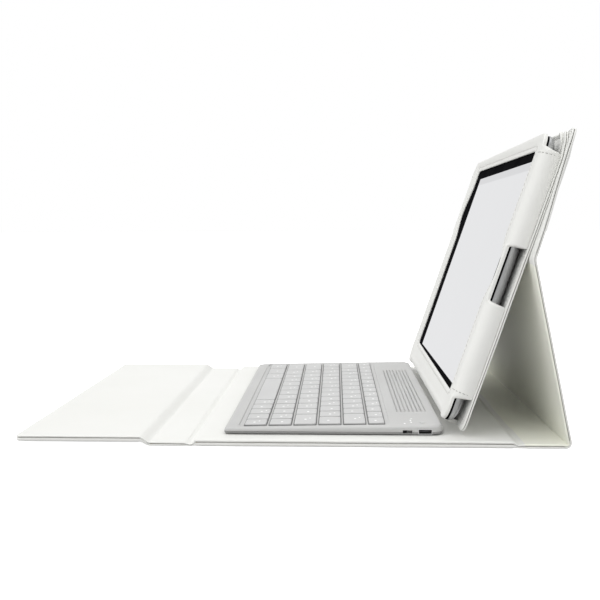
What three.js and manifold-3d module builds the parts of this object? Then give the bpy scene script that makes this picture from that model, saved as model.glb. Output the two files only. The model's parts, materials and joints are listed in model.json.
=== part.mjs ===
// Folio case with a built-in keyboard for a 9.7 inch tablet, set up for typing. Millimetres.
// +X runs along the opened cover from its free flap to its stand, +Y across its width, +Z up.
// The origin is the middle of the footprint, on the surface that the case stands on.
import * as THREE from 'three';
import Module from 'manifold-3d';
import { mergeVertices } from 'three/addons/utils/BufferGeometryUtils.js';

const wasm = await Module();
wasm.setup();

// ---- driving dimensions -------------------------------------------------------------------
const coverWidth = 267.6;        // across the case
const flapLength = 82.8;         // free flap, from its edge to its crease
const frontSpine = 28.7;         // spine between the flap and the base
const baseLength = 204.5;        // panel that carries the keyboard
const rearSpine = 31.3;          // spine between the base and the stand
const panel = 2.8;               // thickness of the spines, the stand and the back cover
const base = { thickness: 4.4, seam: 2.6 };   // the base has the stiffest board
const flap = { thickness: 4.0, seam: 2.6 };   // the flap holds the magnets
const leather = 0.7;             // thickness of the leather skins
const fold = 2.2;                // half the width of a crease, from its axis to the next panel
const corner = 7;                // corner radius at the top of the back cover
const flapCorner = 3;            // corner radius at the flap's free edge
const flapRise = 2.4;            // the flap's crease holds it this far above the table
const gap = 0.1;                 // clearance between the pieces of one panel
const creaseLeather = 1.2;       // thickness of the leather left in a crease
const pastAxis = 0.8;            // a crease's strip reaches this far past its axis
const rollRadius = 1.3;          // rolled folds at the stand's two creases

const standAngle = 102.0;        // stand from the +X direction, in degrees
const holderAngle = 71.2;        // tablet holder from the +X direction, in degrees
const holderToe = [284.2, 8.2];  // lowest back edge of the holder: X from the flap's edge, Z
const holderLength = 196.0;      // holder up its slope
const holderWidth = 252.6;
const holderShift = 1.05;        // the holder sits this far off the middle of the cover
const holderBack = 2.4;          // thickness of the holder's own back panel
const holderDepth = 14.4;        // back face to front face
const frameSkin = 1.8;           // thickness of the front frame
const backOffset = 1.6;          // middle of the back cover behind the holder's back face
const coverTop = 195.5;          // top of the back cover, up the holder's slope

const frame = { low: 1.5, high: 191.5, half: 121.5, corner: 10 };   // front frame, less its wings
const wing = { low: 19, high: 181.5, slant: 3 };   // wings that reach the holder's two sides
const cutOut = { low: 82, high: 119 };             // opening in the near side, for a plug
const opening = { low: 20.5, high: 180, near: -101, far: 108 };   // window over the display
const notch = { middle: 103, half: 24, depth: 12 };               // bell in its near edge
const toeHalf = 107;             // half the width of the gusset under the tablet
const backCorners = [7, 9];      // corner radii of the holder's back panel, toe and top
const tuckLow = 150;             // the tuck flap reaches down to here behind the tablet

const tablet = { length: 185.7, width: 241.2, depth: 8.8, toe: 4.2, back: 3.3, corner: 12 };
const display = { length: 148, width: 197 };

const keyboard = {
  front: 131.2, depth: 140.2, width: 247.2, shift: 2.8, low: 3.6, high: 6.2, corner: 7,
};
const keyboardGap = 0.3;         // adhesive pad between the base and the keyboard
const keyProud = 0.7;            // keys stand this far above the deck
const keyPitch = 16.2;           // from one key row to the next
const keyGap = 1.6;
const keysFront = 12.0;          // first key row, from the keyboard's front edge
const keysNear = -115.6;         // key rows across the keyboard, from its middle
const keysFar = 117.4;
// Key widths of each row in key units, from the near side to the far side.
const keyRows = {
  arrow_keys: { row: 0, keys: [1, 1, 1, 1, 1], from: 0, to: 5 },
  space_bar: { row: 0, keys: [1], from: 5, to: 10.4 },
  command_keys: { row: 0, keys: [1.5, 1.7, 1.5], from: 10.4, to: 15.1 },
  shift_row_keys: { row: 1, keys: [...Array(5).fill(1), ...Array(6).fill(1.1), 1.4, 2.1], from: 0,
    to: 15.1 },
  home_row_keys: { row: 2, keys: [1.8, ...Array(10).fill(1.12), 2.1], from: 0, to: 15.1 },
  upper_row_keys: { row: 3, keys: [1.3, ...Array(12).fill(1.05), 1.2], from: 0, to: 15.1 },
  number_row_keys: { row: 4, keys: [1.8, ...Array(11).fill(1.04), 1.8], from: 0, to: 15.1 },
  function_row_keys: { row: 5, keys: Array(14).fill(1), from: 0, to: 15.1 },
};
const rowUnits = 15.1;
const functionRowDepth = 10.6;
const ridges = {
  count: 8, front: 113.0, back: 133.4, near: -83.5, far: 76.0, width: 1.3, height: 0.5,
};

// ---- places worked out from them ----------------------------------------------------------
const flapFold = flapLength;
const frontFold = flapFold + frontSpine;
const rearFold = frontFold + baseLength;
const standFoot = rearFold + rearSpine;
const foldHeight = panel / 2;
const degree = Math.PI / 180;
const alongHolder = [Math.cos(holderAngle * degree), Math.sin(holderAngle * degree)];
const outOfHolder = [-alongHolder[1], alongHolder[0]];
const alongStand = [Math.cos(standAngle * degree), Math.sin(standAngle * degree)];
// The stand's top crease is where the stand's line meets the back cover's line.
const toeX = standFoot - holderToe[0] + backOffset * outOfHolder[0];
const toeZ = foldHeight - holderToe[1] + backOffset * outOfHolder[1];
const lines = alongHolder[0] * -alongStand[1] + alongStand[0] * alongHolder[1];
const creaseUp = (toeX * -alongStand[1] + alongStand[0] * toeZ) / lines;
const standLength = (alongHolder[0] * toeZ - alongHolder[1] * toeX) / lines;
const rearmost = holderToe[0] + coverTop * alongHolder[0] - (backOffset + panel / 2) * outOfHolder[0];
const middleX = rearmost / 2;
const frameBack = holderDepth - frameSkin;
const flapMiddle = flapRise + flap.thickness / 2;
const flapAxis = (flapMiddle + foldHeight) / 2;

// ---- colours ------------------------------------------------------------------------------
const finish = (color, roughness, metalness = 0) =>
  new THREE.MeshStandardMaterial({ color, roughness, metalness });
const whiteLeather = finish(0xefeeea, 0.55);
const liningLeather = finish(0xf3f2ee, 0.6);
const board = finish(0x8a7c66, 0.9);
const greyRubber = finish(0xbcbcbb, 0.65);
const keyRubber = finish(0xc9c9c8, 0.6);
const darkRubber = finish(0x4a4b4c, 0.8);
const blackPlastic = finish(0x17181a, 0.4);
const greenBoard = finish(0x2f5a3c, 0.6);
const foil = finish(0x9fa3a6, 0.45, 0.6);
const steel = finish(0x8f9296, 0.35, 0.9);
const aluminium = finish(0x6c7075, 0.35, 0.9);
const blackGlass = finish(0x0c0d0f, 0.08);
const litPanel = finish(0xe3e4e6, 0.2);
const lightGuide = finish(0xf4f6f4, 0.3);

// ---- geometry helpers ---------------------------------------------------------------------
// A rectangle with rounded corners: one radius for all four, or one for each end along X.
function outline(x0, x1, y0, y1, radius) {
  const [r0, r1 = r0] = [radius].flat();
  const quarter = Math.PI / 2;
  const shape = new THREE.Shape();
  const turn = (x, y, r, start) => {
    if (r > 0) {
      shape.absarc(x, y, r, start, start + quarter);
    } else {
      shape.lineTo(x, y);
    }
  };
  shape.moveTo(x0 + r0, y0);
  turn(x1 - r1, y0 + r1, r1, -quarter);
  turn(x1 - r1, y1 - r1, r1, 0);
  turn(x0 + r0, y1 - r0, r0, quarter);
  turn(x0 + r0, y0 + r0, r0, 2 * quarter);
  return shape;
}

// A flat plate between two heights, with rounded corners in plan.
function slab(x0, x1, y0, y1, z0, z1, radius = 0) {
  return raise(outline(x0, x1, y0, y1, radius), z0, z1);
}

function raise(shape, z0, z1, curveSegments = 4) {
  const options = { depth: z1 - z0, bevelEnabled: false, curveSegments };
  const geometry = new THREE.ExtrudeGeometry(shape, options);
  return geometry.translate(0, 0, z0);
}

// An outline drawn in X and Z, extruded across the case from y0 to y1.
function across(points, y0, y1) {
  const shape = new THREE.Shape(points.map(([x, z]) => new THREE.Vector2(x, z)));
  const geometry = new THREE.ExtrudeGeometry(shape, { depth: y1 - y0, bevelEnabled: false });
  return geometry.rotateX(Math.PI / 2).translate(0, y1, 0);
}

function toSolid(geometry) {
  const bare = geometry.clone();
  bare.deleteAttribute('normal');
  bare.deleteAttribute('uv');
  const merged = mergeVertices(bare, 1e-4);
  const triVerts = new Uint32Array(merged.index.array);
  const vertProperties = new Float32Array(merged.attributes.position.array);
  return new wasm.Manifold(new wasm.Mesh({ numProp: 3, vertProperties, triVerts }));
}

function toGeometry(solid) {
  const mesh = solid.getMesh();
  const geometry = new THREE.BufferGeometry();
  const corners = new Float32Array(mesh.vertProperties);
  geometry.setAttribute('position', new THREE.BufferAttribute(corners, 3));
  geometry.setIndex(new THREE.BufferAttribute(new Uint32Array(mesh.triVerts), 1));
  geometry.computeVertexNormals();
  return geometry;
}

const cut = (geometry, ...tools) =>
  toGeometry(tools.reduce((solid, tool) => solid.subtract(toSolid(tool)), toSolid(geometry)));
const join = (...pieces) => toGeometry(pieces.map(toSolid).reduce((sum, piece) => sum.add(piece)));

function add(group, name, geometry, material) {
  const mesh = new THREE.Mesh(geometry, material);
  mesh.name = name;
  group.add(mesh);
}

// A cover panel from z = 0 up: an outer skin and a lining that meet at the seam, over a board.
function addPanel(group, name, size) {
  const { x0, x1, y0, y1, thickness, seam = thickness / 2, corners = [0, 0], hardware } = size;
  const inset = (by) => corners.map((radius) => Math.max(radius - by, 0));
  const hollow = (z0, z1) =>
    slab(x0 + leather, x1 - leather, y0 + leather, y1 - leather, z0, z1, inset(leather));
  const outer = cut(slab(x0, x1, y0, y1, 0, seam - gap / 2, corners), hollow(leather, thickness));
  const upper = slab(x0, x1, y0, y1, seam + gap / 2, thickness, corners);
  const lining = cut(upper, hollow(-1, thickness - leather));
  const edge = leather + gap;
  const core = slab(x0 + edge, x1 - edge, y0 + edge, y1 - edge, edge, thickness - edge, inset(edge));
  add(group, `${name}_outer_leather`, outer, whiteLeather);
  add(group, `${name}_lining`, lining, liningLeather);
  if (!hardware) {
    add(group, `${name}_board`, core, board);
    return;
  }
  const [hx0, hx1, hy0, hy1] = hardware.box;
  const pocket = slab(hx0 - gap, hx1 + gap, hy0 - gap, hy1 + gap, 0, thickness);
  add(group, `${name}_board`, cut(core, pocket), board);
  const steelStrip = slab(hx0, hx1, hy0, hy1, edge + gap, thickness - edge - gap);
  add(group, hardware.name, steelStrip, steel);
}

// ---- cover --------------------------------------------------------------------------------
const root = new THREE.Group();
root.position.set(-middleX, 0, 0);
const halfWidth = coverWidth / 2;
const wide = { y0: -halfWidth, y1: halfWidth };

// The thin leather left in a crease, from the panel that it is bonded to until just past the axis.
function addCrease(name, [bonded, z0], [free, z1]) {
  const half = creaseLeather / 2;
  const [left, right] = bonded < free ? [[bonded, z0], [free, z1]] : [[free, z1], [bonded, z0]];
  const profile = [
    [left[0], left[1] - half], [right[0], right[1] - half],
    [right[0], right[1] + half], [left[0], left[1] + half],
  ];
  add(root, name, across(profile, -halfWidth, halfWidth), whiteLeather);
}

function addFlap() {
  const group = new THREE.Group();
  group.position.z = flapRise;
  const hardware = { name: 'flap_magnet_strip', box: [9, 21, -60, 60] };
  const size = { x0: 0, x1: flapFold - fold, ...wide, ...flap, corners: [flapCorner, 0] };
  addPanel(group, 'flap', { ...size, hardware });
  root.add(group);
}

function addCover() {
  addFlap();
  const frontPanel = { x0: flapFold + fold, x1: frontFold - fold, ...wide, thickness: panel };
  addPanel(root, 'front_spine', frontPanel);
  addPanel(root, 'base', { x0: frontFold + fold, x1: rearFold - fold, ...wide, ...base });
  const rearPanel = { x0: rearFold + fold, x1: standFoot - fold, ...wide, thickness: panel };
  addPanel(root, 'rear_spine', rearPanel);
  const reach = fold - gap;
  addCrease('flap_crease', [flapFold + reach, foldHeight], [flapFold - pastAxis, flapAxis]);
  addCrease('front_crease', [frontFold + reach, foldHeight], [frontFold - pastAxis, foldHeight]);
  addCrease('rear_crease', [rearFold - reach, foldHeight], [rearFold + pastAxis, foldHeight]);
}

// The two creases of the stand are rolled folds, round about their axes.
function rolledFold() {
  return new THREE.CylinderGeometry(rollRadius, rollRadius, coverWidth, 12);
}

function addStand() {
  const foot = new THREE.Group();
  foot.position.set(standFoot, 0, foldHeight);
  foot.rotation.y = -standAngle * degree;
  add(foot, 'stand_foot_crease', rolledFold(), whiteLeather);
  const body = new THREE.Group();
  body.position.z = -panel / 2;
  addPanel(body, 'stand', { x0: fold + 0.3, x1: standLength - fold, ...wide, thickness: panel });
  foot.add(body);
  const top = new THREE.Group();
  top.position.x = standLength;
  add(top, 'stand_top_crease', rolledFold(), whiteLeather);
  foot.add(top);
  root.add(foot);
}

// ---- tablet holder ------------------------------------------------------------------------
// In the holder's group, X runs up its slope from the toe and Z from its back face to its front.
const near = holderShift - holderWidth / 2;
const far = holderShift + holderWidth / 2;

// A wing of the front frame, from its flat front out to one side of the holder.
function frameWing(low, high, side) {
  const inner = Math.sign(side) * (frame.half - 1);
  const { slant } = wing;
  const shape = new THREE.Shape();
  shape.moveTo(low - slant, inner).lineTo(low, side).lineTo(high, side).lineTo(high + slant, inner);
  return raise(shape, frameBack, holderDepth);
}

// The window, with a smooth bell-shaped notch in its near edge.
function windowOutline() {
  const points = [];
  const steps = 12;
  for (let i = 0; i <= steps; i += 1) {
    const along = -1 + (2 * i) / steps;
    const bell = 0.5 + 0.5 * Math.cos(Math.PI * along);
    const y = opening.near - notch.depth * bell;
    points.push(new THREE.Vector2(notch.middle + along * notch.half, y));
  }
  const { low, high, near: y0, far: y1 } = opening;
  points.push(new THREE.Vector2(high, y0), new THREE.Vector2(high, y1));
  points.push(new THREE.Vector2(low, y1), new THREE.Vector2(low, y0));
  return new THREE.Shape(points);
}

function addFrontFrame(holder) {
  const { low, high, half, corner: radius } = frame;
  const face = join(
    slab(low, high, -half, half, frameBack, holderDepth, radius),
    frameWing(wing.low, cutOut.low, near),
    frameWing(cutOut.high, wing.high, near),
    frameWing(wing.low, wing.high, far),
  );
  const hole = raise(windowOutline(), frameBack - 1, holderDepth + 1);
  add(holder, 'front_frame', cut(face, hole), whiteLeather);
}

function addHolder() {
  const holder = new THREE.Group();
  holder.position.set(holderToe[0], 0, holderToe[1]);
  holder.rotation.y = -holderAngle * degree;
  const back = { x0: 0, x1: holderLength, y0: near, y1: far, thickness: holderBack };
  addPanel(holder, 'holder_back', { ...back, corners: backCorners });
  addFrontFrame(holder);
  addGussets(holder);
  addTablet(holder);
  addBackCover(holder);
  const z0 = holderBack + gap;
  const tongue = slab(tuckLow, holderLength - 3, near + 6, far - 6, z0, tablet.back - gap, 4);
  add(holder, 'tuck_flap', tongue, liningLeather);
  root.add(holder);
}

// Gussets close the pocket's sides and toe; the top stays open, and the near side has a cut-out.
function addGussets(holder) {
  const z0 = holderBack + gap;
  const z1 = frameBack - gap;
  const thick = 1.5;
  const { low, high } = wing;
  const gusset = (name, x0, x1, y0, y1) => add(holder, name, slab(x0, x1, y0, y1, z0, z1), whiteLeather);
  gusset('near_gusset_lower', low, cutOut.low, near, near + thick);
  gusset('near_gusset_upper', cutOut.high, high, near, near + thick);
  gusset('far_gusset', low, high, far - thick, far);
  gusset('toe_gusset', frame.low, frame.low + thick, -toeHalf, toeHalf);
}

function addTablet(holder) {
  const { length, width, depth, toe, back, corner: r } = tablet;
  const x0 = toe;
  const x1 = toe + length;
  const glassSkin = 0.8;
  const wall = 1.2;
  const body = slab(x0, x1, -width / 2, width / 2, back, back + depth - glassSkin - gap, r);
  const inside = slab(x0 + wall, x1 - wall, -width / 2 + wall, width / 2 - wall,
    back + wall, back + depth, r - wall);
  add(holder, 'tablet_housing', cut(body, inside), aluminium);
  add(holder, 'tablet_glass',
    slab(x0, x1, -width / 2, width / 2, back + depth - glassSkin, back + depth, r), blackGlass);
  const dx = (length - display.length) / 2;
  add(holder, 'tablet_display', slab(x0 + dx, x1 - dx, -display.width / 2, display.width / 2,
    back + depth - glassSkin - gap - 2.4, back + depth - glassSkin - gap), litPanel);
  add(holder, 'tablet_battery',
    slab(x0 + 20, x1 - 20, -85, 85, back + wall + gap, back + wall + 3.6, 3), foil);
}

// The upper back cover is bonded behind the holder. Steel in it holds the closed flap's magnets.
function addBackCover(holder) {
  const group = new THREE.Group();
  group.position.z = -backOffset - panel / 2;
  const hardware = { name: 'back_cover_steel_plate', box: [coverTop - 26, coverTop - 8, -62, 62] };
  const size = { x0: creaseUp + fold, x1: coverTop, ...wide, thickness: panel, corners: [0, corner] };
  addPanel(group, 'back_cover', { ...size, hardware });
  holder.add(group);
}

// ---- keyboard -----------------------------------------------------------------------------
// In the keyboard's group, X runs back from its front edge and Z up from its underside.
const kNear = -keyboard.width / 2;
const kFar = keyboard.width / 2;
const deckHeight = (x) => keyboard.low + ((keyboard.high - keyboard.low) * x) / keyboard.depth;
const splitHeight = 1.9;          // the bottom case and the deck meet here
const shell = 0.8;
const wall = 1.6;
const rowFront = (row) => keysFront + row * keyPitch;
const rowDepth = (row) => (row === 5 ? functionRowDepth : keyPitch - keyGap);
const unit = (keysFar - keysNear) / rowUnits;

function addKeyboard() {
  const group = new THREE.Group();
  group.position.set(keyboard.front, keyboard.shift, base.thickness + keyboardGap);
  const pad = slab(12, keyboard.depth - 12, kNear + 12, kFar - 12, gap / 2 - keyboardGap, -gap / 2, 4);
  add(group, 'keyboard_adhesive_pad', pad, darkRubber);
  addBottomCase(group);
  addDeck(group);
  addKeys(group);
  addElectronics(group);
  addControls(group);
  root.add(group);
}

const usb = { x0: 124.4, x1: 132.6, z0: 1.0, z1: 3.4, deep: 5 };
const slide = { x0: 114.5, x1: 118.5, z0: 1.5, z1: 2.9, travel: 1.6 };
const connect = { x: 127.5, y: kNear + 9, r: 1.6, travel: 0.5 };
const light = { x: 121.5, y: kNear + 20, r: 0.9 };

function addBottomCase(group) {
  const tray = slab(0, keyboard.depth, kNear, kFar, 0, splitHeight - gap / 2, keyboard.corner);
  const insideCorner = keyboard.corner - wall;
  const inside = slab(wall, keyboard.depth - wall, kNear + wall, kFar - wall, shell, 9, insideCorner);
  const socket = slab(usb.x0 - 0.2, usb.x1 + 0.2, kNear - 1, kNear + 3, usb.z0 - 0.2, 9);
  const slot = slab(slide.x0 - 0.2, slide.x1 + slide.travel + 0.2, kNear - 1, kNear + 3, slide.z0 - 0.2, 9);
  add(group, 'keyboard_bottom_case', cut(tray, inside, socket, slot), greyRubber);
}

function addDeck(group) {
  const plan = slab(0, keyboard.depth, kNear, kFar, splitHeight + gap / 2, 9, keyboard.corner);
  const profile = (x0, x1, below) =>
    [[x0, 0], [x1, 0], [x1, deckHeight(x1) - below], [x0, deckHeight(x0) - below]];
  const top = across(profile(-1, keyboard.depth + 1, 0), kNear - 1, kFar + 1);
  const wedge = toSolid(plan).intersect(toSolid(top));
  const under = across(profile(wall, keyboard.depth - wall, shell), kNear + wall, kFar - wall);
  let deck = wedge.subtract(toSolid(under));
  Object.values(keyRows).forEach(({ row, from, to }) => {
    const y0 = keysNear + from * unit;
    const y1 = keysNear + to * unit;
    const x0 = rowFront(row);
    const opening = slab(x0 - 0.3, x0 + rowDepth(row) + 0.3, y0 + 0.1, y1 - 0.1, 0, 9);
    deck = deck.subtract(toSolid(opening));
  });
  const pitch = (ridges.back - ridges.front - ridges.width) / (ridges.count - 1);
  for (let i = 0; i < ridges.count; i += 1) {
    const x = ridges.front + i * pitch;
    const z = deckHeight(x);
    const ridge = slab(x, x + ridges.width, ridges.near, ridges.far, z - 0.4, z + ridges.height);
    deck = deck.add(toSolid(ridge));
  }
  const socket = slab(usb.x0 - 0.2, usb.x1 + 0.2, kNear - 1, kNear + 3, 0, usb.z1 + 0.2);
  const slot = slab(slide.x0 - 0.2, slide.x1 + slide.travel + 0.2, kNear - 1, kNear + 3, 0, slide.z1 + 0.2);
  deck = deck.subtract(toSolid(socket)).subtract(toSolid(slot));
  deck = deck.subtract(toSolid(disc(connect.x, connect.y, connect.r + 0.25, 0, 9)));
  deck = deck.subtract(toSolid(disc(light.x, light.y, light.r + 0.15, 0, 9)));
  add(group, 'keyboard_deck', toGeometry(deck), greyRubber);
}

function disc(x, y, radius, z0, z1) {
  const geometry = new THREE.CylinderGeometry(radius, radius, z1 - z0, 16);
  return geometry.rotateX(Math.PI / 2).translate(x, y, (z0 + z1) / 2);
}

// The keys of one row are moulded on a thin rubber web, which moves down with them.
function addKeys(group) {
  Object.entries(keyRows).forEach(([name, { row, keys, from, to }]) => {
    const x0 = rowFront(row);
    const x1 = x0 + rowDepth(row);
    const surface = deckHeight(x0);
    const bottom = surface - 1.2;
    const y0 = keysNear + from * unit + 0.4;
    const y1 = keysNear + to * unit - 0.4;
    const total = keys.reduce((sum, width) => sum + width, 0);
    const solids = [slab(x0, x1, y0, y1, bottom, bottom + 0.5)];
    let y = y0;
    keys.forEach((width) => {
      const step = ((y1 - y0) * width) / total;
      const side = keys.length > 1 ? 0.7 : 0;
      solids.push(slab(x0, x1, y + side, y + step - side, bottom + 0.1, surface + keyProud));
      y += step;
    });
    add(group, name, join(...solids), keyRubber);
  });
}

// Under the keys: the dome sheet on the circuit board. Under the ridged rest: the battery.
function addElectronics(group) {
  const keysBack = rowFront(5) + functionRowDepth + 2;
  const circuit = slab(4, keysBack, kNear + 5, kFar - 5, shell + 0.05, shell + 0.45, 2);
  add(group, 'keyboard_circuit_board', circuit, greenBoard);
  const domes = slab(6, keysBack - 2, kNear + 7, kFar - 7, shell + 0.5, shell + 0.7, 2);
  add(group, 'keyboard_dome_sheet', domes, lightGuide);
  const cell = slab(keysBack + 2, keyboard.depth - 6, -60, 50, shell + 0.1, shell + 3.4, 1.5);
  add(group, 'keyboard_battery', cell, foil);
  const { x0, x1, z0, z1, deep } = usb;
  const shield = slab(x0, x1, kNear + 0.2, kNear + deep, z0, z1);
  const mouth = slab(x0 + 0.5, x1 - 0.5, kNear - 1, kNear + deep - 1.2, z0 + 0.5, z1 - 0.5);
  add(group, 'charging_socket', cut(shield, mouth), blackPlastic);
}

function addControls(group) {
  const { x0, z0, z1 } = slide;
  add(group, 'power_switch', slab(x0, x0 + 2.4, kNear + 0.3, kNear + 4, z0, z1), blackPlastic);
  const top = deckHeight(connect.x) + 0.4;
  add(group, 'connect_button', disc(connect.x, connect.y, connect.r, top - 2.2, top), lightGuide);
  const lens = disc(light.x, light.y, light.r, 2.4, deckHeight(light.x) + 0.1);
  add(group, 'indicator_light', lens, lightGuide);
}

addCover();
addStand();
addHolder();
addKeyboard();

export default root;
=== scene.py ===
# Looks for the tablet keyboard case: soft leather, thread, silicone, metal and glass round the CAD frame.
import bpy
import bmesh
import json
import math
from mathutils import Matrix, Vector


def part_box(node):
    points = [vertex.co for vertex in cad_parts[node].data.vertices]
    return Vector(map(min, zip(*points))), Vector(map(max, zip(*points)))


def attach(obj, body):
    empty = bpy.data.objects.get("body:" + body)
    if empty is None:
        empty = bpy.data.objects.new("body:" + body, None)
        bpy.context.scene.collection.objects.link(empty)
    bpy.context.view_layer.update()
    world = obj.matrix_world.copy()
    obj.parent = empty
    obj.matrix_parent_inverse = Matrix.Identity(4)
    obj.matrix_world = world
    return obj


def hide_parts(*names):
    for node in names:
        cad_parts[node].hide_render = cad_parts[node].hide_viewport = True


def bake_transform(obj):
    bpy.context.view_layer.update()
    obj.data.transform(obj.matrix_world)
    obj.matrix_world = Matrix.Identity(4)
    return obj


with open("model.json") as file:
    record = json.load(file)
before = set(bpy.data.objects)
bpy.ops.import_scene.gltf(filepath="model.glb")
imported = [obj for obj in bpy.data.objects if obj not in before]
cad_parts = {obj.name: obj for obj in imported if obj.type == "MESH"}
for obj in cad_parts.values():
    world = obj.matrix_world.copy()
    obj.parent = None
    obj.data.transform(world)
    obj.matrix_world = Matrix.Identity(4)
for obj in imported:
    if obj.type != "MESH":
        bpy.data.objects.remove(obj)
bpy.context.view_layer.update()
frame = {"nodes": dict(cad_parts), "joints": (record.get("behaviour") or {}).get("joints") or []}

MM = 0.001
scene = bpy.context.scene

# ---- dimensions that repeat the CAD, in millimetres ----------------------------------------------
HALF_WIDTH = 133.8
FLAP_FOLD, FRONT_FOLD, REAR_FOLD, FOOT = 82.8, 111.5, 316.0, 347.3
PANEL, BASE_PANEL, FLAP_PANEL = 2.8, 4.4, 4.0
FLAP_RISE = 2.4
FOLD = 2.2
STAND_ANGLE, HOLDER_ANGLE = math.radians(102.0), math.radians(71.2)
TOE = (284.2, 8.2)
HOLDER_LENGTH, NEAR, FAR = 196.0, -125.25, 127.35
HOLDER_BACK, COVER_TOP, COVER_BACK = 2.4, 197.6, -3.0
TABLET = {"s0": 1.3, "s1": 190.6, "half": 120.6, "back": 3.3, "front": 12.1, "corner": 8.5}
DISPLAY = {"low": 22.6, "high": 175.0, "near": -104.2, "far": 86.5}
WINDOW = {"low": 20.0, "high": 182.0, "near": -102.4, "far": 101.6}
NOTCH = {"middle": 103.0, "half": 24.0, "depth": 12.0}
SAG = {"middle": 143.0, "half": 27.0, "depth": 11.0}
FACE = {"low": 1.5, "high": 191.5, "half": 121.3, "corner": 10.0}
CUT_OUT = (82.0, 119.0)
KEYBOARD = {"front": 131.2, "depth": 140.2, "half": 123.6, "shift": 2.8, "z": 4.7, "low": 3.6, "high": 6.2}

MID = -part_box("flap_outer_leather")[0].x / MM
joint_at = {j["name"]: j.get("pos_m") for j in frame["joints"]}
HINGE_Z = joint_at["front_spine_fold"][2] / MM
TOP_CREASE = (joint_at["holder_fold"][0] / MM + MID, joint_at["holder_fold"][2] / MM)
STAND_LENGTH = math.hypot(TOP_CREASE[0] - FOOT, TOP_CREASE[1] - HINGE_Z)


# ---- places: each turns local millimetres into metres in the row frame ---------------------------
def flat(z0=0.0):
    return lambda x, y, z: ((x - MID) * MM, y * MM, (z + z0) * MM)


def sloped(origin, angle):
    ca, sa = math.cos(angle), math.sin(angle)
    ox, oz = origin
    return lambda s, y, t: ((ox - MID + s * ca - t * sa) * MM, y * MM, (oz + s * sa + t * ca) * MM)


on_holder = sloped(TOE, HOLDER_ANGLE)
on_stand = sloped((FOOT, HINGE_Z), STAND_ANGLE)


def on_keyboard(x, y, z):
    return (x + KEYBOARD["front"] - MID) * MM, (y + KEYBOARD["shift"]) * MM, (z + KEYBOARD["z"]) * MM


def smoothstep(a, b, x):
    f = min(1.0, max(0.0, (x - a) / (b - a)))
    return f * f * (3 - 2 * f)


def corner_lean(s, y):
    """How far the pocket's top corners lean forward."""
    return 2.5 * smoothstep(178, 197, s) * smoothstep(105, 125, abs(y))


def edge_curl(s, y):
    """How far the back cover's long edges curl forward round the pocket, above the stand."""
    share = smoothstep(115, 193, s) * smoothstep(123, HALF_WIDTH, abs(y))
    return corner_lean(s, y) * 0.95 * (1 - share) + 3.5 * share


def on_back_panel(s, y, t):
    return on_holder(s, y, t + corner_lean(s, y))


def on_back_cover(s, y, t):
    return on_holder(s, y, t + edge_curl(s, y))


# ---- materials -----------------------------------------------------------------------------------
class Nodes:
    def __init__(self, name, roughness, metallic=0.0, **sockets):
        self.material = bpy.data.materials.new(name)
        self.material.use_nodes = True
        self.tree = self.material.node_tree
        self.shader = self.tree.nodes["Principled BSDF"]
        self.shader.inputs["Roughness"].default_value = roughness
        self.shader.inputs["Metallic"].default_value = metallic
        for socket, value in sockets.items():
            self.shader.inputs[socket.replace("_", " ")].default_value = value
        self.coord = self.tree.nodes.new("ShaderNodeTexCoord").outputs["Object"]

    def noise(self, scale, detail):
        node = self.tree.nodes.new("ShaderNodeTexNoise")
        node.inputs["Scale"].default_value = scale
        node.inputs["Detail"].default_value = detail
        self.tree.links.new(self.coord, node.inputs["Vector"])
        return node.outputs["Fac"]

    def cells(self, scale):
        node = self.tree.nodes.new("ShaderNodeTexVoronoi")
        node.inputs["Scale"].default_value = scale
        self.tree.links.new(self.coord, node.inputs["Vector"])
        return node.outputs["Distance"]

    def ramp(self, source, stops):
        node = self.tree.nodes.new("ShaderNodeValToRGB")
        elements = node.color_ramp.elements
        while len(elements) < len(stops):
            elements.new(0.5)
        for element, (place, colour) in zip(elements, stops):
            element.position = place
            element.color = (*colour, 1.0)
        self.tree.links.new(source, node.inputs["Fac"])
        return node.outputs["Color"]

    def colour(self, source, stops):
        self.tree.links.new(self.ramp(source, stops), self.shader.inputs["Base Color"])

    def rough(self, source, low, high):
        node = self.tree.nodes.new("ShaderNodeMapRange")
        node.inputs["To Min"].default_value = low
        node.inputs["To Max"].default_value = high
        self.tree.links.new(source, node.inputs["Value"])
        self.tree.links.new(node.outputs["Result"], self.shader.inputs["Roughness"])

    def bump(self, source, strength, distance):
        node = self.tree.nodes.new("ShaderNodeBump")
        node.inputs["Strength"].default_value = strength
        node.inputs["Distance"].default_value = distance
        self.tree.links.new(source, node.inputs["Height"])
        last = self.shader.inputs["Normal"]
        if last.is_linked:
            self.tree.links.new(last.links[0].from_socket, node.inputs["Normal"])
        self.tree.links.new(node.outputs["Normal"], last)


def leather(name, light, dark, roughness, grain):
    m = Nodes(name, roughness, Coat_Weight=0.12, Coat_Roughness=0.35, Sheen_Weight=0.05)
    m.colour(m.noise(9.0, 4.0), [(0.32, dark), (0.68, light)])
    m.rough(m.noise(60.0, 5.0), roughness - 0.05, roughness + 0.08)
    m.bump(m.noise(14.0, 3.0), 0.25, 0.0009)
    m.bump(m.cells(900.0), 0.16, grain)
    m.bump(m.noise(2600.0, 4.0), 0.12, grain * 0.5)
    return m.material


def moulded(name, light, dark, roughness, grain=0.00006, shine=0.4):
    m = Nodes(name, roughness, Specular_IOR_Level=shine)
    m.colour(m.noise(22.0, 4.0), [(0.3, dark), (0.7, light)])
    m.rough(m.noise(120.0, 4.0), roughness - 0.04, roughness + 0.06)
    m.bump(m.noise(3200.0, 3.0), 0.18, grain)
    return m.material


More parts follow.
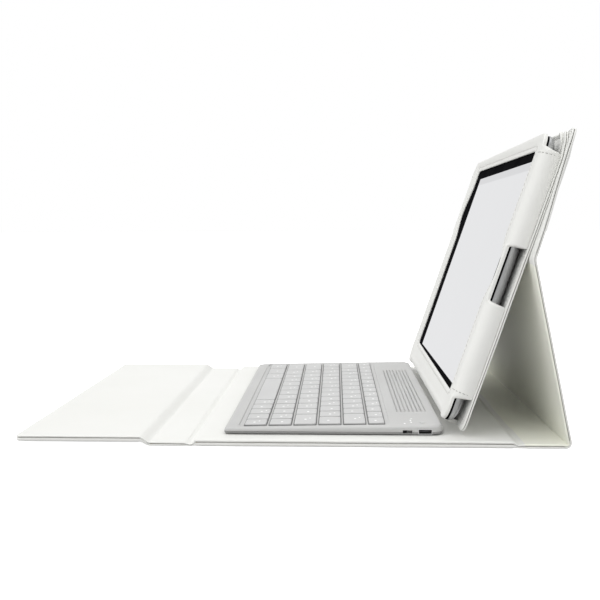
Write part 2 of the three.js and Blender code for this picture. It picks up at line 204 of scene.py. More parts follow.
white_leather = leather("white_leather", (0.87, 0.87, 0.85), (0.84, 0.84, 0.815), 0.42, 0.00012)
lining_leather = leather("lining_leather", (0.87, 0.872, 0.85), (0.84, 0.842, 0.815), 0.5, 0.00009)
# Lining inside the stand: a lighter, olive-tinted copy of the lining leather, as painted shade tint and
# painted bounce light.
shade_tinted_lining = leather("stand_lining_painted_shade_tint", (0.93, 0.935, 0.845), (0.905, 0.91, 0.815), 0.5, 0.00009)
silicone = moulded("grey_silicone", (0.575, 0.575, 0.57), (0.54, 0.54, 0.536), 0.5)
# The keyboard tray: a darker copy of the grey silicone, as painted shade on the keyboard's sides.
tray_painted_shade_silicone = moulded("tray_painted_shade_silicone", (0.3, 0.3, 0.298), (0.27, 0.27, 0.268), 0.55)
key_silicone = moulded("key_silicone", (0.62, 0.62, 0.62), (0.59, 0.59, 0.59), 0.46)
dark_foam = moulded("dark_foam", (0.05, 0.05, 0.052), (0.03, 0.03, 0.032), 0.85)
black_plastic = moulded("black_plastic", (0.014, 0.014, 0.016), (0.008, 0.008, 0.009), 0.4, shine=0.12)
circuit = moulded("circuit_green", (0.05, 0.19, 0.08), (0.04, 0.15, 0.06), 0.45)
clear_plastic = moulded("clear_plastic", (0.82, 0.84, 0.82), (0.78, 0.8, 0.78), 0.3)
fibreboard = moulded("fibreboard", (0.45, 0.38, 0.29), (0.36, 0.3, 0.22), 0.85, 0.0002)
# Edge glue between leather layers, dark grey partly as painted shade of the seam groove.
glue_and_seam_shade = moulded("edge_glue_and_seam_shade", (0.36, 0.358, 0.335), (0.3, 0.298, 0.275), 0.6)
# The webs between the keys: near-black silicone as painted shade in the gaps between keys.
painted_shade_web = moulded("key_web_painted_shade", (0.2, 0.2, 0.2), (0.17, 0.17, 0.17), 0.6)
print_ink = moulded("white_print", (0.93, 0.93, 0.93), (0.88, 0.88, 0.88), 0.5)


def metal(name, light, dark, roughness):
    m = Nodes(name, roughness, 1.0)
    m.colour(m.noise(35.0, 3.0), [(0.3, dark), (0.7, light)])
    m.rough(m.noise(260.0, 4.0), roughness - 0.05, roughness + 0.07)
    m.bump(m.noise(4200.0, 2.0), 0.12, 0.00004)
    return m.material


aluminium = metal("tablet_aluminium", (0.53, 0.535, 0.54), (0.47, 0.475, 0.48), 0.34)
steel = metal("plain_steel", (0.5, 0.5, 0.51), (0.42, 0.42, 0.44), 0.3)
bright_rim = metal("plated_rim", (0.86, 0.86, 0.87), (0.8, 0.8, 0.81), 0.45)
foil = metal("cell_foil", (0.6, 0.6, 0.62), (0.52, 0.52, 0.54), 0.4)


def make_thread(name, light, dark):
    m = Nodes(name, 0.7, Sheen_Weight=0.4)
    m.colour(m.noise(300.0, 3.0), [(0.3, dark), (0.7, light)])
    m.bump(m.noise(2400.0, 2.0), 0.5, 0.00012)
    return m.material


def make_glass():
    m = Nodes("black_glass", 0.2, Specular_IOR_Level=0.0)
    m.colour(m.noise(50.0, 2.0), [(0.3, (0.006, 0.006, 0.007)), (0.7, (0.01, 0.01, 0.011))])
    m.rough(m.noise(180.0, 5.0), 0.16, 0.26)
    return m.material


def make_screen():
    """A plain lit screen, slightly greyer in a strip along its top."""
    m = Nodes("lit_screen", 0.5, Emission_Strength=1.0, Specular_IOR_Level=0.03)
    low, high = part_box("tablet_display")
    m.colour(m.noise(40.0, 2.0), [(0.3, (0.02, 0.02, 0.021)), (0.7, (0.024, 0.024, 0.025))])
    split = m.tree.nodes.new("ShaderNodeSeparateXYZ")
    m.tree.links.new(m.coord, split.inputs[0])
    share = m.tree.nodes.new("ShaderNodeMapRange")
    share.inputs["From Min"].default_value = low.z
    share.inputs["From Max"].default_value = high.z
    m.tree.links.new(split.outputs["Z"], share.inputs["Value"])
    glow = m.ramp(share.outputs["Result"], [
        (0.0, (0.745, 0.748, 0.758)), (0.988, (0.74, 0.743, 0.753)),
        (0.991, (0.66, 0.662, 0.67)), (1.0, (0.65, 0.65, 0.66))])
    m.tree.links.new(glow, m.shader.inputs["Emission Color"])
    return m.material


# White thread, greyed partly as painted shade of its stitch holes.
stitch_thread_with_shade = make_thread("white_thread_with_painted_shade", (0.72, 0.72, 0.69), (0.6, 0.6, 0.575))
# Grey thread for the pocket's end stitches, as painted shade of their needle holes.
needle_hole_shade_thread = make_thread("grey_thread_as_painted_shade", (0.42, 0.42, 0.395), (0.33, 0.33, 0.31))
black_glass, lit_screen = make_glass(), make_screen()


# ---- mesh helpers --------------------------------------------------------------------------------
SHARP = 35.0


def closed_mesh(name, verts, faces, place):
    """Mesh data whose faces all look outwards."""
    mesh = bpy.data.meshes.new(name)
    mesh.from_pydata([place(*v) for v in verts], [], faces)
    bm = bmesh.new()
    bm.from_mesh(mesh)
    bmesh.ops.recalc_face_normals(bm, faces=bm.faces)
    bm.to_mesh(mesh)
    bm.free()
    return mesh


def make(name, verts, faces, place, material, body, slot=None, replaces=(), sharp=SHARP):
    """One piece; with body None it is attached to no body."""
    mesh = closed_mesh(name, verts, faces, place)
    mesh.shade_smooth()
    mesh.set_sharp_from_angle(angle=math.radians(sharp))
    mesh.materials.append(material)
    obj = bpy.data.objects.new(name, mesh)
    scene.collection.objects.link(obj)
    if body:
        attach(obj, body)
    if replaces:
        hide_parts(*replaces)
    return obj


def ring(x0, x1, y0, y1, r0, r1, arc=6, step=9.0):
    """Points round a rectangle with rounded corners: r0 at the low end of x, r1 at the high end."""
    corners = [(x1 - r1, y0 + r1, r1, -90), (x1 - r1, y1 - r1, r1, 0),
               (x0 + r0, y1 - r0, r0, 90), (x0 + r0, y0 + r0, r0, 180)]
    points = []
    for i, (cx, cy, r, a0) in enumerate(corners):
        for k in range(arc + 1):
            a = math.radians(a0 + 90.0 * k / arc)
            points.append((cx + r * math.cos(a), cy + r * math.sin(a)))
        nx, ny, nr, n0 = corners[(i + 1) % 4]
        a = math.radians(n0)
        end = (nx + nr * math.cos(a), ny + nr * math.sin(a))
        start = points[-1]
        count = ring_counts(x0, x1, y0, y1, step)[i % 2]
        for k in range(1, count):
            f = k / count
            points.append((start[0] + (end[0] - start[0]) * f, start[1] + (end[1] - start[1]) * f))
    return points


def ring_counts(x0, x1, y0, y1, step):
    return max(2, round((y1 - y0) / step)), max(2, round((x1 - x0) / step))


def skin(rings, loop=False):
    """Faces between rings of equal length, with a flat face at each end unless the rings make a loop."""
    n = len(rings[0])
    verts = [p for r in rings for p in r]
    faces = []
    for i in range(len(rings) if loop else len(rings) - 1):
        a, b = i * n, ((i + 1) % len(rings)) * n
        for k in range(n):
            m = (k + 1) % n
            faces.append((a + k, a + m, b + m, b + k))
    if not loop:
        faces.append(tuple(range(n - 1, -1, -1)))
        faces.append(tuple(range(len(verts) - n, len(verts))))
    return verts, faces


def ripple(x, y):
    """A small even unevenness of hand-turned edges."""
    return math.sin(0.071 * x + 0.9) * math.cos(0.053 * y) + 0.6 * math.sin(0.19 * x + 0.13 * y + 2.0)


def pad(x0, x1, y0, y1, levels, corners=(1.0, 1.0), ends=(1.0, 1.0), wave=0.0, step=9.0):
    """A rounded slab from its edge profile: levels are (inset, height), and ends widen the insets along x."""
    count = len(ring(x0, x1, y0, y1, 1, 1, step=step))
    rings = []
    for i, (inset, height) in enumerate(levels):
        r0, r1 = (max(r - inset, 0.3) for r in corners)
        outline = ring(x0 + inset * ends[0], x1 - inset * ends[1], y0 + inset, y1 - inset, r0, r1, step=step)
        if len(outline) != count:
            outline = resample(outline, count)
        soft = wave if 1 < i < len(levels) - 2 else 0.0
        rings.append([(x, y, (height(x) if callable(height) else height) + soft * ripple(x, y))
                      for x, y in outline])
    return skin(rings)


def resample(points, count):
    """The same closed outline with this many evenly spaced points."""
    lengths = [0.0]
    loop = points + points[:1]
    for a, b in zip(loop, loop[1:]):
        lengths.append(lengths[-1] + math.dist(a, b))
    total, out, i = lengths[-1], [], 0
    for k in range(count):
        want = total * k / count
        while lengths[i + 1] < want:
            i += 1
        f = (want - lengths[i]) / max(lengths[i + 1] - lengths[i], 1e-9)
        a, b = loop[i], loop[i + 1]
        out.append((a[0] + (b[0] - a[0]) * f, a[1] + (b[1] - a[1]) * f))
    return out


def merge(*parts):
    verts, faces = [], []
    for v, f in parts:
        base = len(verts)
        verts += v
        faces += [tuple(i + base for i in face) for face in f]
    return verts, faces


# ---- leather panels of two turned layers ---------------------------------------------------------
ROUNDED_EDGE = [(1.35, 0.0), (0.75, 0.045), (0.3, 0.16), (0.06, 0.32), (0.0, 0.5),
                (0.06, 0.68), (0.24, 0.84), (0.62, 0.95), (1.2, 1.0)]
PLAIN_CAP = 2.6
SEAM_GAP = 0.1
HAND_WAVE = 0.06


def rim_steps(cap):
    """Insets from a face's flat middle out to its edge, which let a panel follow a leaning place."""
    return [cap * k / 4 for k in (4, 3, 2, 1)]


def layer(z0, z1, free_high, cap=PLAIN_CAP):
    """Edge profile of one layer: fully rounded on its free side, and tucked in a little at the seam."""
    h = z1 - z0
    rims = rim_steps(cap) if cap > PLAIN_CAP else [cap]
    shape = [(e, 0.0) for e in rims] + ROUNDED_EDGE + [(e, 1.0) for e in reversed(rims)]
    if free_high:
        return [(e, z1 - h * f) for e, f in reversed(shape)]
    return [(e, z0 + h * f) for e, f in shape]


def panel(name, body, place, x0, x1, y0, y1, z0, z1, seam=None, corners=(1.6, 1.6), ends=(1.0, 1.0),
          inside=lining_leather, reach=(0.0, 0.0), cap=PLAIN_CAP):
    """Two leather layers that meet at a seam, with a line of edge glue between them that is dark partly as
    painted shade of the seam.
    """
    seam = (z0 + z1) / 2 if seam is None else seam
    under, over = seam - SEAM_GAP, seam + SEAM_GAP
    lower = pad(x0, x1, y0, y1, layer(z0, under, False, cap), corners, ends, HAND_WAVE)
    upper = pad(x0 - reach[0], x1 + reach[1], y0, y1, layer(over, z1, True, cap), corners, ends, HAND_WAVE)
    rims = rim_steps(cap) if cap > PLAIN_CAP else []
    edge = [(e, under) for e in rims] + [(0.6, under), (0.5, seam), (0.6, over)]
    line = pad(x0, x1, y0, y1, edge + [(e, over) for e in reversed(rims)], corners, ends)
    make(name + "_edge_glue_and_seam_shade", *line, place, glue_and_seam_shade, body)
    make(name + "_outer_skin", *lower, place, white_leather, body, "white_leather", [name + "_outer_leather"])
    make(name + "_lining_skin", *upper, place, inside, body, "lining", [name + "_lining"])


SOFT_END, LONG_END = 2.6, 4.4
wide = (-HALF_WIDTH, HALF_WIDTH)
panel("flap", "flap", flat(FLAP_RISE), 0, FLAP_FOLD - FOLD, *wide, 0, FLAP_PANEL, 2.6, (3.0, 1.0),
      (1, SOFT_END))
panel("front_spine", "front_spine", flat(), FLAP_FOLD + FOLD, FRONT_FOLD - FOLD, *wide, 0, PANEL,
      None, (1, 1), (SOFT_END, SOFT_END))
panel("base", "base", flat(), FRONT_FOLD + FOLD, REAR_FOLD - FOLD, *wide, 0, BASE_PANEL, 2.6, (1, 1),
      (LONG_END, SOFT_END))
# The rear spine and the stand are lined with the lining copy that is tinted as painted shade.
panel("rear_spine", "rear_spine", flat(), REAR_FOLD + FOLD, FOOT - FOLD, *wide, 0, PANEL, None, (1, 1),
      (SOFT_END, 0.6), shade_tinted_lining, (0.0, 0.5))
panel("stand", "stand", on_stand, FOLD + 0.1, STAND_LENGTH - FOLD, *wide, -PANEL / 2, PANEL / 2, None,
      (1, 1.6), (0.6, 1), shade_tinted_lining, (0.55, 0.0))
cover_low = ((TOP_CREASE[0] - TOE[0]) * math.cos(HOLDER_ANGLE)
             + (TOP_CREASE[1] - TOE[1]) * math.sin(HOLDER_ANGLE))
panel("back_cover", "holder", on_back_cover, cover_low + FOLD, COVER_TOP, *wide, COVER_BACK,
      COVER_BACK + PANEL, None, (1.6, 10.0), cap=14.0)
panel("holder_back", "holder", on_back_panel, -1.2, HOLDER_LENGTH, NEAR, FAR, 0, HOLDER_BACK, None,
      (7.0, 9.0), cap=24.0)


def curled_board(name, place, x0, x1, y0, y1, z0, z1, cap, corners):
    """A board that follows a leaning panel, inside its leather."""
    rims = rim_steps(cap)
    levels = [(e, z0) for e in rims] + [(0.0, z0), (0.0, z1)] + [(e, z1) for e in rims[::-1]]
    board = pad(x0, x1, y0, y1, levels, corners)
    make(name + "_leaning", *board, place, fibreboard, "holder", "board", [name])


SKIN, TURN_IN = 0.75, 1.6
curled_board("back_cover_board", on_back_cover, cover_low + FOLD + 2, COVER_TOP - 2, -HALF_WIDTH + TURN_IN,
             HALF_WIDTH - TURN_IN, COVER_BACK + SKIN, COVER_BACK + PANEL - SKIN, 12.5, (1.0, 8.5))
curled_board("holder_back_board", on_back_panel, 1, HOLDER_LENGTH - 2, NEAR + TURN_IN, FAR - TURN_IN, SKIN,
             HOLDER_BACK - SKIN, 22.0, (5.5, 7.5))


# ---- creases: leather that bends between two panels ----------------------------------------------
def bent(name, centre, half, start, end, material, slot, replaces=(), inset=0.0):
    """A sheet with this centre line in (X, z), and this half thickness along it, from edge to edge."""
    normals = []
    for i in range(len(centre)):
        a, b = centre[max(i - 1, 0)], centre[min(i + 1, len(centre) - 1)]
        length = math.dist(a, b)
        normals.append((-(b[1] - a[1]) / length, (b[0] - a[0]) / length))
    rings = []
    edge = [(0.0, 0.35), (0.12, 0.62), (0.35, 0.84), (0.8, 0.97), (1.6, 1.0)]
    round_in, spans = edge[-1][0], 24
    side = HALF_WIDTH - inset
    inner = [(-side + round_in + i * (2 * side - 2 * round_in) / spans, 1.0) for i in range(1, spans)]
    places = [(-side + e, k) for e, k in edge] + inner + [(side - e, k) for e, k in reversed(edge)]
    for y, k in places:
        top = [(c[0] + n[0] * h * k, y, c[1] + n[1] * h * k) for c, n, h in zip(centre, normals, half)]
        low = [(c[0] - n[0] * h * k, y, c[1] - n[1] * h * k) for c, n, h in zip(centre, normals, half)]
        rings.append(top + low[::-1])
    obj = make(name, *skin(rings), flat(), material, None, slot, replaces)
    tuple(flat()(start[0], 0, start[1]))
    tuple(flat()(end[0], 0, end[1]))
    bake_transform(obj)


def level_crease(name, x, left, right, pinch, replaces):
    """The leather between two level panels: each of left, pinch and right is (underside, seam, top)."""
    reach, steps, part = 3.6, 16, 0.07
    lower, upper = [], []
    for i in range(steps + 1):
        f = i / steps
        eased = smoothstep(0, 1, f)
        low, seam, high = (a + (b - a) * eased for a, b in zip(left, right))
        if pinch:
            share = (1 - abs(2 * f - 1) ** 1.5) ** 1.2
            low, seam, high = (a + (b - a) * share for a, b in zip((low, seam, high), pinch))
        at = x - reach + 2 * reach * f
        lower.append((at, (low + seam - part) / 2, (seam - part - low) / 2))
        upper.append((at, (high + seam + part) / 2, (high - seam - part) / 2))
    start, end = (x - FOLD, left[1]), (x + FOLD, right[1])
    bent(name + "_outer", [p[:2] for p in lower], [p[2] for p in lower], start, end, white_leather,
         "white_leather", replaces)
    bent(name + "_lining", [p[:2] for p in upper], [p[2] for p in upper], start, end, lining_leather,
         "lining")
    # A sheet between the crease's two layers, in the glue that is dark partly as painted shade of the gap.
    middle = [(p[0], (p[1] + p[2] + q[1] - q[2]) / 2) for p, q in zip(lower, upper)]
    bent(name + "_glue", middle, [0.11] * len(middle), start, end, glue_and_seam_shade, None, inset=0.55)


level_crease("flap_crease", FLAP_FOLD, (2.7, 5.0, 6.2), (0.15, 1.4, 2.65), None,
             ["flap_crease"])
level_crease("front_crease", FRONT_FOLD, (0.15, 1.4, 2.65), (0.5, 2.4, 3.4),
             (0.1, 0.75, 1.5), ["front_crease"])
level_crease("rear_crease", REAR_FOLD, (0.3, 2.6, 4.1), (0.15, 1.4, 2.65),
             (0.2, 1.3, 2.3), ["rear_crease"])


def turned(corner, angle_in, angle_out, radius, offset, reach):
    """A centre line that comes in at one angle, turns on an arc and leaves at another."""
    steps = 14
    turn = angle_out - angle_in
    tangent = radius * math.tan(abs(turn) / 2)
    side = math.copysign(1.0, turn)
    lead_in = (math.cos(angle_in), math.sin(angle_in))
    lead_out = (math.cos(angle_out), math.sin(angle_out))
    start = (corner[0] - lead_in[0] * tangent, corner[1] - lead_in[1] * tangent)
    middle = (start[0] - lead_in[1] * radius * side, start[1] + lead_in[0] * radius * side)
    r = radius - side * offset
    first = angle_in - side * math.pi / 2
    angles = [first + turn * k / steps for k in range(steps + 1)]
    arc = [(middle[0] + r * math.cos(a), middle[1] + r * math.sin(a)) for a in angles]
    extra = reach - tangent
    before = (arc[0][0] - lead_in[0] * extra, arc[0][1] - lead_in[1] * extra)
    after = (arc[-1][0] + lead_out[0] * extra, arc[-1][1] + lead_out[1] * extra)
    return [before, *arc, after]


def rolled_crease(name, corner, angle_in, angle_out, radius, replaces, sunk=0.0):
    """Two leather layers rolled round a fold; a sunk lining lies below the linings next to it."""
    lead, gap = PANEL / 4, 0.04
    back = (corner[0] - math.cos(angle_in) * FOLD, corner[1] - math.sin(angle_in) * FOLD)
    front = (corner[0] + math.cos(angle_out) * FOLD, corner[1] + math.sin(angle_out) * FOLD)
    # A sunk lining takes the lining copy that is tinted as painted shade.
    lining = shade_tinted_lining if sunk else lining_leather
    skins = (("outer", -lead, lead - gap, white_leather, "white_leather", replaces),
             ("lining", lead - sunk, lead - gap - sunk, lining, "lining", ()))
    for layer_name, offset, half, material, slot, stands_for in skins:
        centre = turned(corner, angle_in, angle_out, radius, offset, 3.9)
        bent(f"{name}_{layer_name}", centre, [half] * len(centre), back, front, material, slot,
             stands_for)


rolled_crease("stand_foot", (FOOT, HINGE_Z), 0.0, STAND_ANGLE, 2.4,
              ["stand_foot_crease"], 0.33)
rolled_crease("stand_top", TOP_CREASE, STAND_ANGLE, HOLDER_ANGLE, 6.0,
              ["stand_top_crease"])


# ---- front frame of the pocket: one soft sheet from the window's lip round the sides -------------
LIP, CROWN, UNDER = 13.75, 14.9, 12.32
STITCH_IN = 3.1
WRAP_RADIUS = 7.4
WRAP_LOW, WRAP_HIGH = 18.8, 181.6
TOE_WRAP = 107.0


def bell(s, bulge):
    """1 in the middle of a bulge of the window's edge, and 0 outside it."""
    along = (s - bulge["middle"]) / bulge["half"]
    return 0.5 + 0.5 * math.cos(math.pi * along) if abs(along) < 1 else 0.0


def window_point(s, y):
    """The nearest point of the window's edge, whose corners are slightly rounded."""
    r = 2.2
    cs = min(max(s, WINDOW["low"] + r), WINDOW["high"] - r)
    cy = min(max(y, WINDOW["near"] + r), WINDOW["far"] - r)
    d = math.hypot(s - cs, y - cy)
    ws, wy = (cs + (s - cs) / d * r, cy + (y - cy) / d * r) if d > 1e-6 else (cs, cy)
    if y < 0 and wy < WINDOW["near"] + r * 0.5:
        wy -= NOTCH["depth"] * bell(ws, NOTCH)
    if y > 0 and wy > WINDOW["far"] - r * 0.5:
        wy += SAG["depth"] * bell(ws, SAG)
    share = wy / WINDOW["far"]
    ws += 1.2 * share * (1 - smoothstep(WINDOW["low"], WINDOW["low"] + 40, ws))
    ws += 0.7 * share * smoothstep(WINDOW["high"] - 40, WINDOW["high"], ws)
    return ws, wy


def spread(a, b, fine):
    """Positions from a to b, closest together round the fine places."""
    points, p = [a], a
    while p < b - 0.3:
        nearest = min([abs(p - f) for f in fine], default=99.0)
        p += 0.5 if nearest < 3.0 else (1.5 if nearest < 8 else 3.0)
        points.append(min(p, b))
    return points


def quarter(cs, cy, first_degree):
    """The inner points of one rounded corner of the face, as (s, y, wrap)."""
    r = FACE["corner"]
    angles = [math.radians(first_degree + 9.0 * k) for k in range(1, 10)]
    return [(cs + r * math.cos(a), cy + r * math.sin(a), 0.0) for a in angles]


def side_wrap(s):
    """1 where the sheet wraps round the side, and 0 at its open ends."""
    return smoothstep(17.2, 20.4, s) * (1 - smoothstep(180.2, 183.0, s))


def cut_out_wrap(s):
    """0 within the side cut-out, and 1 outside it."""
    low, high = CUT_OUT
    return 1 - smoothstep(low - 0.9, low + 0.9, s) + smoothstep(high - 0.9, high + 0.9, s)


def toe_wrap(y):
    return smoothstep(-109, -105, y) * (1 - smoothstep(105, 109, y))


def face_samples():
    """(s, y, wrap) round the frame's outline: wrap takes the edge out to the holder's side and down."""
    low, high, half, r = FACE["low"], FACE["high"], FACE["half"], FACE["corner"]
    samples = []
    for s in spread(low + r, high - r, [WRAP_LOW, *CUT_OUT, WRAP_HIGH]):
        wrap = side_wrap(s) * cut_out_wrap(s)
        samples.append((s, -half + (NEAR + half) * wrap, wrap))
    samples += quarter(high - r, -half + r, -90)
    samples += [(high, y, 0.0) for y in spread(-half + r, half - r, [])]
    samples += quarter(high - r, half - r, 0)
    for s in reversed(spread(low + r, high - r, [WRAP_LOW, WRAP_HIGH])):
        samples.append((s, half + (FAR - half) * side_wrap(s), side_wrap(s)))
    samples += quarter(low + r, half - r, 90)
    for y in reversed(spread(-half + r, half - r, [-TOE_WRAP, TOE_WRAP])):
        samples.append((low - 2.2 * toe_wrap(y), y, toe_wrap(y)))
    samples += quarter(low + r, -half + r, 180)
    return samples


def face_height(width, d):
    """The face rises from the window's lip to its crown."""
    return LIP + (CROWN - LIP) * smoothstep(1.0, width - 2.0, d)


def section(width, wrap):
    """The sheet's closed section as (distance from the window's edge, height), at full or no wrap."""
    skin_depth = 1.45

    def face(d):
        return face_height(width, d)

    top = [(0.2, UNDER + 0.2), (0.0, UNDER + 0.75), (0.12, LIP - 0.35), (0.5, LIP - 0.08), (1.2, LIP + 0.06),
           (2.3, face(2.3) + 0.03)]
    groove = ((-0.25, 0.1), (0.0, 0.24), (0.25, 0.1))
    top += [(STITCH_IN + offset, face(STITCH_IN) - depth) for offset, depth in groove]
    top += [(4.0, face(4.0) + 0.03)]
    r = WRAP_RADIUS * wrap + 0.95 * (1 - wrap)
    spare = width - r
    quarter_turn = [math.radians(15 * k) for k in range(7)]
    for f in (0.2, 0.45, 0.7, 0.9):
        d = 4.0 + (spare - 4.0) * f
        top.append((d, face(d)))
    bend = [(spare + r * math.sin(a), CROWN - r + r * math.cos(a)) for a in quarter_turn]
    floor = HOLDER_BACK + 0.1
    bottom = floor * wrap + (UNDER + 0.35) * (1 - wrap)
    last = CROWN - r
    tucks = ((0.3, 0.1), (0.6, 0.45), (0.85, 0.95), (1.0, 1.4))
    side = [(width - tuck * wrap, last + (bottom - last) * f) for f, tuck in tucks]
    inner_r = max(r - skin_depth, 0.25)
    side_depth = skin_depth * wrap + 0.9 * (1 - wrap)
    inside = [(width - side_depth - 1.1 * wrap * (1 - f) ** 2, bottom * (1 - f) + last * f)
              for f in (0.0, 0.3, 0.65)]
    lowest = UNDER if wrap < 0.5 else 0.0
    turn = [(width - side_depth - inner_r + inner_r * math.sin(a),
             max(CROWN - skin_depth - inner_r + inner_r * math.cos(a), lowest))
            for a in reversed(quarter_turn)]
    under = [(max(width * f, 1.0), max(UNDER, face(width * f) - skin_depth - 0.35))
             for f in (0.6, 0.35, 0.12)]
    return top + bend + side + inside + turn + under


def across(s, y):
    """The window's edge nearest to an outline point, the way out from it, and how far apart they are."""
    ws, wy = window_point(s, y)
    width = math.hypot(s - ws, y - wy)
    return ws, wy, (s - ws) / width, (y - wy) / width, width


def make_frame():
    rings = []
    for s, y, wrap in face_samples():
        ws, wy, us, uy, width = across(s, y)
        ring_points = []
        for full, none in zip(section(width, 1.0), section(width, 0.0)):
            d, height = (a * wrap + b * (1 - wrap) for a, b in zip(full, none))
            ring_points.append((ws + us * d, wy + uy * d, height))
        rings.append(ring_points)
    verts, faces = skin(rings, loop=True)
    make("pocket_front", verts, faces, on_holder, white_leather, "holder", "white_leather",
         ["front_frame", "near_gusset_lower", "near_gusset_upper", "far_gusset", "toe_gusset"], 50)


make_frame()


# ---- stitching -----------------------------------------------------------------------------------
def stitches(name, lines, body, place, pitch=3.3, length=2.6, yarn=stitch_thread_with_shade):
    """Raised stitches along lines of (s, y, t) points, in the place's millimetres."""
    width = 0.5
    verts, faces = [], []
    for line in lines:
        spare = pitch / 2
        for a, b in zip(line, line[1:]):
            gap = math.dist(a, b)
            if gap < 1e-9:
                continue
            while spare <= gap:
                f = spare / gap
                at = [a[i] + (b[i] - a[i]) * f for i in range(3)]
                way = [(b[i] - a[i]) / gap for i in range(3)]
                add_stitch(verts, faces, at, way, length, width)
                spare += pitch
            spare -= gap
    make(name, verts, faces, place, yarn, body, "white_leather", sharp=80)


def add_stitch(verts, faces, at, way, length, width):
    """One stitch: a thin bead that dips under the leather at both ends."""
    w = Vector(way)
    up = Vector((0, 0, 1)) if abs(w.z) < 0.9 else Vector((0, 1, 0))
    side = w.cross(up).normalized()
    up = side.cross(w).normalized()
    centre = Vector(at)
    base, sides = len(verts), 6
    profile = [(-0.5, 0.25, -0.35), (-0.36, 0.8, 0.1), (0.0, 1.0, 0.3), (0.36, 0.8, 0.1), (0.5, 0.25, -0.35)]
    for along, scale, lift in profile:
        for k in range(sides):
            a = 2 * math.pi * k / sides
            p = (centre + w * along * length + side * math.cos(a) * width * 0.5 * scale
                 + up * (math.sin(a) * width * 0.42 * scale + lift * width * 0.5))
            verts.append(tuple(p))
    for i in range(len(profile) - 1):
        for k in range(sides):
            m = (k + 1) % sides
            a, b = base + i * sides, base + (i + 1) * sides
            faces.append((a + k, a + m, b + m, b + k))
    faces.append(tuple(base + k for k in range(sides - 1, -1, -1)))
    last = base + (len(profile) - 1) * sides
    faces.append(tuple(last + k for k in range(sides)))


def window_stitch_line():
    line = []
    for s, y, _ in face_samples():
        ws, wy, us, uy, width = across(s, y)
        line.append((ws + us * STITCH_IN, wy + uy * STITCH_IN, face_height(width, STITCH_IN) - 0.06))
    return line + line[:1]


stitches("window_stitching", [window_stitch_line()], "holder", on_holder)


def wrap_end(s, side):
    """A stitched line down the end of a side wrap, a few millimetres in from its edge."""
    r = WRAP_RADIUS
    inward = -math.copysign(1.0, side)
    line = [(s, side + inward * 9.0, CROWN - 0.05), (s, side + inward * r, CROWN + 0.02)]
    line += [(s, side + inward * (r - r * math.sin(a)), CROWN - r + r * math.cos(a) + 0.02)
             for a in (math.radians(15 * k) for k in range(1, 7))]
    line += [(s, side + inward * 0.3, 5.6), (s, side + inward * 1.0, 3.5)]
    return line


# These stitches take the grey thread: painted shade of their needle holes.
stitches("pocket_end_stitching", [wrap_end(s, side) for side in (NEAR, FAR) for s in (22.4, 178.4)], "holder",
         on_holder, 2.6, 1.8, needle_hole_shade_thread)


def panel_line(z, inset):
    """A closed line round the holder's back panel, this far in from its edge."""
    low_r, high_r = 7 - inset, 9 - inset
    outline = ring(inset, HOLDER_LENGTH - inset, NEAR + inset, FAR - inset, low_r, high_r, step=3)
    line = [(x, y, z) for x, y in outline]
    return line + line[:1]


rows = [panel_line(z, inset)
        for z, inset in ((HOLDER_BACK + 0.02, 2.6), (HOLDER_BACK + 0.02, 5.4), (-0.02, 2.6))]
stitches("holder_back_stitching", rows, "holder", on_back_panel, 2.9, 2.1)


# ---- tuck flap and tablet ------------------------------------------------------------------------
def tuck_flap():
    """The tongue tucked in behind the tablet, with its rolled top edge."""
    rings = []
    side_gap, steps, thick = 5.0, 96, 0.62
    y0, y1 = NEAR + side_gap, FAR - side_gap
    lying = HOLDER_BACK + 0.12
    for i in range(steps + 1):
        f = i / steps
        y = y0 + (y1 - y0) * f
        end = min(f, 1 - f) * (y1 - y0)
        pinch = 1 - max(0.0, 1 - end / side_gap) ** 2
        lump = 0.35 * math.sin(0.31 * y) + 0.25 * math.sin(0.83 * y + 1.0)
        top = 192.6 + 1.2 * pinch - 5.0 * (1 - pinch) + 0.5 * lump
        r = 1.15 * (0.35 + 0.65 * pinch)
        roll = [(top + r * math.sin(a), lying + r - r * math.cos(a) + 0.12 * lump * math.sin(a / 2))
                for a in (math.radians(22.5 * k) for k in range(10))]
        front = [(s, lying + thick) for s in (top - 2.0, top - 3.5, 172.0, 151.0)]
        back = [(150.0, HOLDER_BACK + 0.4), (151.0, lying), (172.0, lying)]
        rings.append([(s, y, t) for s, t in roll + front + back])
    make("tuck_flap_leather", *skin(rings), on_back_panel, lining_leather, "holder", "lining", ["tuck_flap"])


tuck_flap()


def make_tablet():
    s0, s1, half, back, front, r = (TABLET[k] for k in ("s0", "s1", "half", "back", "front", "corner"))
    edge = [(20.0, back), (14.0, back + 0.12), (10.0, back + 0.5), (6.8, back + 1.2), (4.2, back + 2.2),
            (2.2, back + 3.5), (0.9, back + 4.9), (0.2, back + 6.4), (0.0, back + 7.3), (0.12, back + 7.85),
            (1.2, back + 7.9)]
    housing = pad(s0, s1, -half, half, edge, (r, r), step=12)
    make("tablet_shell", *housing, on_holder, aluminium, "tablet", "tablet_metal", ["tablet_housing"])
    rim = [(2.5, front - 0.85), (0.5, front - 0.85), (0.25, front - 0.7), (0.2, front - 0.35),
           (0.32, front - 0.12), (0.6, front), (3.0, front)]
    glass = pad(s0, s1, -half, half, rim, (r, r), step=12)
    make("tablet_front_glass", *glass, on_holder, black_glass, "tablet", "tablet_glass", ["tablet_glass"])
    lit = [(0.2, front + 0.005), (0.0, front + 0.02), (0.1, front + 0.03), (0.5, front + 0.03)]
    screen = pad(DISPLAY["low"], DISPLAY["high"], DISPLAY["near"], DISPLAY["far"], lit, (0.8, 0.8), step=20)
    make("tablet_lit_screen", *screen, on_holder, lit_screen, "tablet", "tablet_screen", ["tablet_display"])


make_tablet()

